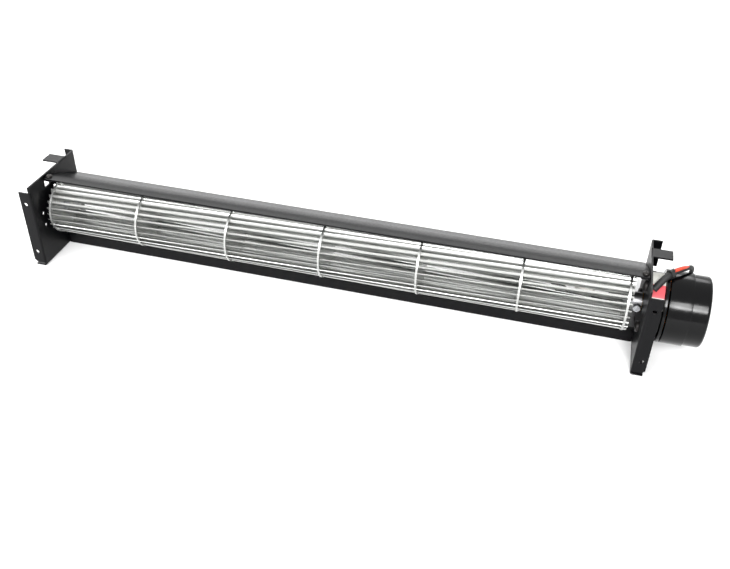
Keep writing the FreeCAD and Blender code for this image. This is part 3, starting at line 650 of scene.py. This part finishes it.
# %% [markdown]
# ## Both ends
#
# At the left a bronze sleeve sits in a rubber cushion, so that the shaft runs quietly. At
# the right a hub is riveted to the last disc and its screw grips the motor's shaft.

# %% Cushion, bush, hub and shafts
for node, width, material, body in (
        ("bearing_cushion", 0.35, rubber, "housing"), ("idle_bush", 0.15, bronze, "housing"),
        ("idle_shaft", 0.12, steel, "rotor"), ("drive_hub", 0.15, hub_metal, "rotor"),
        ("hub_screw", 0.12, steel, "rotor"), ("lead_connector", 0.15, nylon, "housing"),
        ("lead_tie", 0.12, black_nylon, "housing")):
    piece = eased(node, width * MM, material, body)
    print(piece.name, len(piece.data.polygons), "faces before its bevel")

# %% [markdown]
# Pieces that are hidden inside the motor keep their solids and only take their finish.

# %% Finishes of the solids that stay
for node, material in (("drive_shaft", steel), ("motor_bearing", bronze),
                       ("stator_core", laminate), ("stator_coils", copper),
                       ("insulation_film", film_finish)):
    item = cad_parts[node]
    if not item.material_slots:
        item.data.materials.append(material)
    item.material_slots[0].material = material
    print(node, "is", material.name)

# %% [markdown]
# ## Screws
#
# The guides are held by small pan head screws through their lips, and the motor by three
# larger ones from inside the right end plate. One head is modelled for each size, with a
# cross recess; Geometry Nodes put it on a point for each screw and turn it to face out.

# %% One screw head
HEAD_SIDES, DOME_STEPS = 40, 6
STRAIGHT = 0.35  # the share of a head's height and radius that isn't dome
BAR_LENGTH, BAR_WIDTH, BAR_DEPTH, BAR_LIFT = 1.15, 0.24, 1.4, 1.25
BAR_TAPER = 0.55


def head_mesh(name, radius, height):
    """A pan head that stands on Z = 0, in mm."""
    shape = bmesh.new()
    profile = [(radius, 0), (radius, height * STRAIGHT)]
    for step in range(1, DOME_STEPS):
        angle = math.radians(90 * step / DOME_STEPS)
        profile.append((radius * (STRAIGHT + (1 - STRAIGHT) * math.cos(angle)),
                        height * (STRAIGHT + (1 - STRAIGHT) * math.sin(angle))))
    rings = []
    for reach, level_z in profile:
        ring = []
        for side in range(HEAD_SIDES):
            angle = 2 * math.pi * side / HEAD_SIDES
            place = Vector((reach * math.cos(angle), reach * math.sin(angle), level_z))
            ring.append(shape.verts.new(place * MM))
        rings.append(ring)
    for near, far in zip(rings, rings[1:]):
        for side in range(HEAD_SIDES):
            after = (side + 1) % HEAD_SIDES
            shape.faces.new((near[side], near[after], far[after], far[side]))
    shape.faces.new(rings[0][::-1])
    shape.faces.new(rings[-1])
    mesh = bpy.data.meshes.new(name)
    shape.to_mesh(mesh)
    shape.free()
    return mesh


def cross_mesh(name, radius, height):
    """Two crossed bars that cut the recess, with tapered ends."""
    shape = bmesh.new()
    for turn in (0, 90):
        made = bmesh.ops.create_cube(shape, size=1)
        spin = Matrix.Rotation(math.radians(turn), 4, "Z")
        size = Matrix.Diagonal((radius * BAR_LENGTH, radius * BAR_WIDTH, height * BAR_DEPTH, 1))
        lift = Matrix.Translation((0, 0, height * BAR_LIFT))
        bmesh.ops.transform(shape, matrix=Matrix.Scale(MM, 4) @ spin @ lift @ size,
                            verts=made["verts"])
        low = [vert for vert in made["verts"] if vert.co.z < height * MM]
        bmesh.ops.scale(shape, vec=(BAR_TAPER, BAR_TAPER, 1), verts=low)
    mesh = bpy.data.meshes.new(name)
    shape.to_mesh(mesh)
    shape.free()
    return mesh


def screw_head(name, radius, height):
    """The mesh of a head with its recess cut."""
    head = shown(name, head_mesh(name, radius, height), steel)
    cutter = shown(name + "_cut", cross_mesh(name + "_cut", radius, height), steel)
    cut = head.modifiers.new("recess", "BOOLEAN")
    cut.object = cutter
    cut.operation = "DIFFERENCE"
    cut.solver = "EXACT"
    cut.use_self = True
    view = bpy.context.evaluated_depsgraph_get()
    mesh = bpy.data.meshes.new_from_object(head.evaluated_get(view))
    for extra in (head, cutter):
        bpy.data.objects.remove(extra)
    smooth(mesh, 35)
    return mesh


# %% [markdown]
# The tree reads the points of a small mesh and a direction kept on each point, and sets
# the head there. The head is an input, so the same tree serves both kinds of screw.

# %% Screws on points


def screw_tree():
    """A node tree that puts a head on each point, facing along the attribute 'out'."""
    tree = bpy.data.node_groups.new("screws on points", "GeometryNodeTree")
    tree.interface.new_socket("Geometry", in_out="INPUT", socket_type="NodeSocketGeometry")
    head = tree.interface.new_socket("Head", in_out="INPUT", socket_type="NodeSocketObject")
    tree.interface.new_socket("Geometry", in_out="OUTPUT", socket_type="NodeSocketGeometry")
    given = add(tree, "NodeGroupInput")
    out = add(tree, "GeometryNodeInputNamedAttribute", {"Name": "out"}, data_type="FLOAT_VECTOR")
    face = add(tree, "FunctionNodeAlignRotationToVector", {"Vector": out.outputs["Attribute"]},
               axis="Z")
    pattern = add(tree, "GeometryNodeObjectInfo", {"Object": given.outputs["Head"]})
    placed = add(tree, "GeometryNodeInstanceOnPoints",
                 {"Points": given.outputs["Geometry"], "Instance": pattern.outputs["Geometry"],
                  "Rotation": face.outputs["Rotation"]})
    real = add(tree, "GeometryNodeRealizeInstances", {"Geometry": placed.outputs["Instances"]})
    painted = add(tree, "GeometryNodeSetMaterial", {"Geometry": real.outputs["Geometry"],
                                                    "Material": black_steel})
    add(tree, "NodeGroupOutput", {"Geometry": painted.outputs["Geometry"]})
    return tree, head.identifier


screw_nodes, head_input = screw_tree()


def screws(name, spots, radius, height):
    """One mesh of several screws; a spot is a place in mm and a direction."""
    mesh = bpy.data.meshes.new(name)
    mesh.from_pydata([Vector(place) * MM for place, _ in spots], [], [])
    out = mesh.attributes.new("out", "FLOAT_VECTOR", "POINT")
    for index, (_, direction) in enumerate(spots):
        out.data[index].vector = direction
    item = shown(name, mesh, steel)
    pattern = bpy.data.objects.new(name + "_pattern", screw_head(name + "_head", radius, height))
    bpy.context.scene.collection.objects.link(pattern)
    maker = item.modifiers.new("screws", "NODES")
    maker.node_group = screw_nodes
    maker[head_input] = pattern
    view = bpy.context.evaluated_depsgraph_get()
    whole = bpy.data.meshes.new_from_object(item.evaluated_get(view))
    item.modifiers.remove(maker)
    item.data = whole
    bpy.data.objects.remove(pattern)
    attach(item, "housing")
    print(name, len(whole.polygons), "faces")


# %% [markdown]
# The guide screws stand over the ears that the end plates bend inward: two on the top
# guide's lip and two under the lower guide, which slopes down to the back. The motor's
# screws sit on a 24 mm circle.

# %% Place the screws
LEFT_PLATE = -164.9
EAR = 2.0
SHEET = 0.8
LIP_TOP, LIP_SCREW = AXIS_HEIGHT + 20.16, -6.08
IMPELLER, GUIDE_GAP = 15, 2.4
SLOPE_START, SLOPE_END, SLOPE_FALL = 2, 22.25, 3.5
EAR_BACK = 13.3
fall = SLOPE_FALL * (EAR_BACK - SLOPE_START) / (SLOPE_END - SLOPE_START)
UNDER_EAR = AXIS_HEIGHT - IMPELLER - GUIDE_GAP - SHEET - fall - SHEET
guide_spots = [((x, y, z), (0, 0, way))
               for y, z, way in ((LIP_SCREW, LIP_TOP, 1), (EAR_BACK, UNDER_EAR, -1))
               for x in (LEFT_PLATE + EAR, RIGHT_PLATE - EAR)]
screws("guide_screws", guide_spots, 1.6, 1.1)
MOTOR_CIRCLE = 12
motor_spots = []
for turn in (225, 345, 105):
    turn = math.radians(turn)
    place = (RIGHT_PLATE, MOTOR_CIRCLE * math.cos(turn),
             AXIS_HEIGHT + MOTOR_CIRCLE * math.sin(turn))
    motor_spots.append((place, (-1, 0, 0)))
screws("motor_screws", motor_spots, 2.7, 1.6)

# %% [markdown]
# ## Put the lead on the housing
#
# The lead stands for its two solids. The wires, the connector and the tie go with it.

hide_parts("lead", "lead_coil")
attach(lead_cord, "housing")
for wire in wires:
    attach(wire, "housing")
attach(wire_tie, "housing")

# %% [markdown]
# ## Floor and light
#
# A white floor takes the fan's soft shadow, and sends less light back up than it shows
# the camera, so that the inside of the impeller stays dark. The world is white to the
# camera and in reflections. For light it is bright above and behind, like a soft box over
# the table, and dim near the horizon. A long lamp in front draws the bright lines along
# the blades, and a taller one to its right the band on the can.

# %% Floor
BOUNCE = 0.35
HALF, UNDER = 1.5, -0.0001
floor_finish, tree, surface = finish("matt white backdrop paper", "#f6f6f6", Roughness=0.9)
surface.inputs["Specular IOR Level"].default_value = 0.1
noise = grain(tree, surface, 2 * MM, 0.02 * MM)
vary(tree, noise, surface, "Roughness", 0.86, 0.94)
path = add(tree, "ShaderNodeLightPath")
shown_as = add(tree, "ShaderNodeMapRange", {"Value": path.outputs["Is Diffuse Ray"],
                                            "To Min": 1.0, "To Max": BOUNCE})
paper = add(tree, "ShaderNodeMix", {"Factor": shown_as.outputs["Result"]}, data_type="RGBA")
paper.inputs["A"].default_value = linear("#000000")
paper.inputs["B"].default_value = linear("#f6f6f6")
tree.links.new(paper.outputs["Result"], surface.inputs["Base Color"])
floor_mesh = bpy.data.meshes.new("floor")
floor_mesh.from_pydata([(-HALF, -HALF, UNDER), (HALF, -HALF, UNDER), (HALF, HALF, UNDER),
                        (-HALF, HALF, UNDER)], [], [(0, 1, 2, 3)])
floor = shown("floor", floor_mesh, floor_finish)

# %% World and lamps
world = bpy.data.worlds.new("studio")
world.use_nodes = True
bpy.context.scene.world = world
tree = world.node_tree
tree.nodes.clear()
path = add(tree, "ShaderNodeLightPath")
away = add(tree, "ShaderNodeTexCoord")
parts = add(tree, "ShaderNodeSeparateXYZ", {"Vector": away.outputs["Generated"]})
height = add(tree, "ShaderNodeValToRGB", {"Fac": parts.outputs["Z"]})
bands = height.color_ramp.elements
bands[0].position, bands[0].color = 0.12, (0.22, 0.22, 0.22, 1)
bands[1].position, bands[1].color = 0.4, (1, 1, 1, 1)
behind = add(tree, "ShaderNodeMapRange", {"Value": parts.outputs["Y"], "From Min": -0.5,
                                          "From Max": 0.5, "To Min": 0.2, "To Max": 0.8})
both = add(tree, "ShaderNodeMath",
           {0: height.outputs["Color"], 1: behind.outputs["Result"]}, operation="MULTIPLY")
soft = add(tree, "ShaderNodeBackground", {"Color": (1, 1, 1, 1),
                                          "Strength": both.outputs["Value"]})
clear = add(tree, "ShaderNodeBackground", {"Color": (1, 1, 1, 1), "Strength": 1.0})
seen = add(tree, "ShaderNodeMath",
           {0: path.outputs["Is Camera Ray"], 1: path.outputs["Is Glossy Ray"]},
           operation="MAXIMUM")
mixed = add(tree, "ShaderNodeMixShader",
            {0: seen.outputs["Value"], 1: soft.outputs[0], 2: clear.outputs[0]})
add(tree, "ShaderNodeOutputWorld", {"Surface": mixed.outputs[0]})


def lamp(name, place, target, width, height, power):
    """A soft lamp, its sides in metres and its power in watts, that looks at a target."""
    light = bpy.data.lights.new(name, "AREA")
    light.shape = "RECTANGLE"
    light.size, light.size_y = width, height
    light.energy = power
    item = bpy.data.objects.new(name, light)
    item.location = place
    item.rotation_euler = (Vector(target) - Vector(place)).to_track_quat("-Z", "Y").to_euler()
    bpy.context.scene.collection.objects.link(item)


lamp("in_front", (-0.35, -0.95, 0.86), (-0.1, 0, 0.02), 2.0, 0.2, 26)
lamp("beside_camera", (0.35, -0.93, 0.88), (0.165, 0, 0.03), 0.4, 0.42, 13)
lamp("behind", (-0.4, 1.2, 0.87), (0, 0, 0), 2.0, 0.5, 14)
bpy.context.scene.view_settings.view_transform = "Standard"
print("lamps placed")
